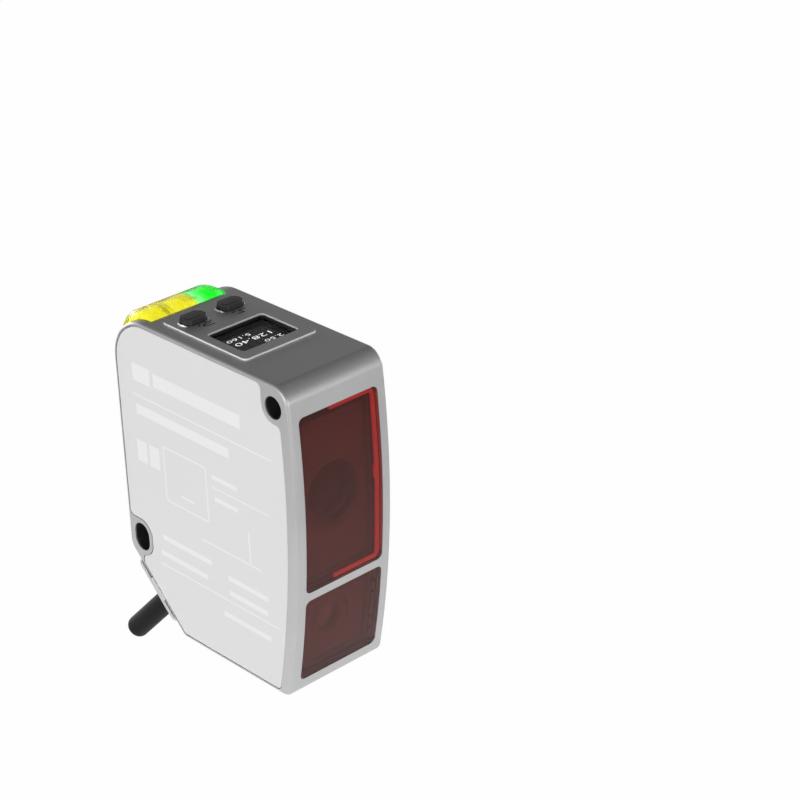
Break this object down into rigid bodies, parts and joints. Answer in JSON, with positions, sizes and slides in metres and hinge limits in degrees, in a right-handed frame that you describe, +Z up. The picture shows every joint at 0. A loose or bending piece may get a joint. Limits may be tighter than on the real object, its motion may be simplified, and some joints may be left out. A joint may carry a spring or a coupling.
{
  "type": "laser distance sensor",
  "caption": "Slim block-shaped laser distance sensor with curved red front windows, top display and keys, corner status lights and a short cable.",
  "frame": {"origin": "centre of the upper mounting hole, midway between the two side faces", "axes": "+X along the mounting hole towards the label side, +Z up along the body's height, and the optical windows face -Y"},
  "size_m": [0.023, 0.0692, 0.0847],
  "materials": {
    "cast_housing": "satin silver die-cast zinc, fine blasted grain",
    "cover_plate": "pale grey matt lacquer with a faint off-white print",
    "label": "printed film, yellow above and black below",
    "red_window": "polished, deep red tinted acrylic",
    "display_glass": "smoked glass",
    "display": "dark display face in a frame",
    "black_rubber": "matt black",
    "black_plastic": "fine grained black",
    "white_plastic": "satin white",
    "green_light": "clear green, polished",
    "yellow_light": "clear yellow, polished",
    "circuit_board": "green solder resist",
    "chip": "moulded epoxy",
    "can": "drawn can",
    "lens_glass": "polished and coated",
    "brass": "turned",
    "steel": "plain",
    "ribbon": "amber film",
    "gland_metal": "satin silver, slightly darker than the housing",
    "cable_jacket": "matt black jacket"
  },
  "bodies": {
    "body": {"housing": "cast_housing", "side_cover": "cover_plate", "cover_gasket": "black_rubber", "side_label": "label", "receiver_window": "red_window", "emitter_window": "red_window", "receiver_gasket": "black_rubber", "emitter_gasket": "black_rubber", "display_glass": "display_glass", "display_gasket": "black_rubber", "display_module": "display", "key_seals": "black_rubber", "key_switches": "chip", "top_board": "circuit_board", "green_light_guide": "green_light", "inner_yellow_light_guide": "yellow_light", "outer_yellow_light_guide": "yellow_light", "light_frame": "white_plastic", "status_leds": "white_plastic", "light_board": "circuit_board", "optical_bench": "black_plastic", "receiving_lens": "lens_glass", "lens_ring": "black_plastic", "image_sensor": "chip", "sensor_board": "circuit_board", "laser_barrel": "brass", "collimating_lens": "lens_glass", "laser_diode": "brass", "laser_board": "circuit_board", "main_board": "circuit_board", "processor_chip": "chip", "small_chips": "chip", "capacitors": "can", "board_screws": "steel", "bench_screws": "steel", "top_board_screws": "steel", "sensor_ribbon": "ribbon", "display_ribbon": "ribbon", "laser_ribbon": "ribbon", "wire_connector": "white_plastic", "cable_cores": "ribbon", "cable_grommet": "black_rubber", "gland_seal": "black_rubber", "gland_plate": "gland_metal", "cable": "cable_jacket"},
    "cover_side_button": {"cover_side_key": "black_plastic", "cover_side_plunger": "white_plastic"},
    "label_side_button": {"label_side_key": "black_plastic", "label_side_plunger": "white_plastic"}
  },
  "joints": [
    {"name": "cover_side_press", "type": "slide", "parent": "body", "child": "cover_side_button", "axis": [0, 0, -1], "range_m": [0, 0.0004], "stiffness_N_per_m": 500},
    {"name": "label_side_press", "type": "slide", "parent": "body", "child": "label_side_button", "axis": [0, 0, -1], "range_m": [0, 0.0004], "stiffness_N_per_m": 500}
  ]
}
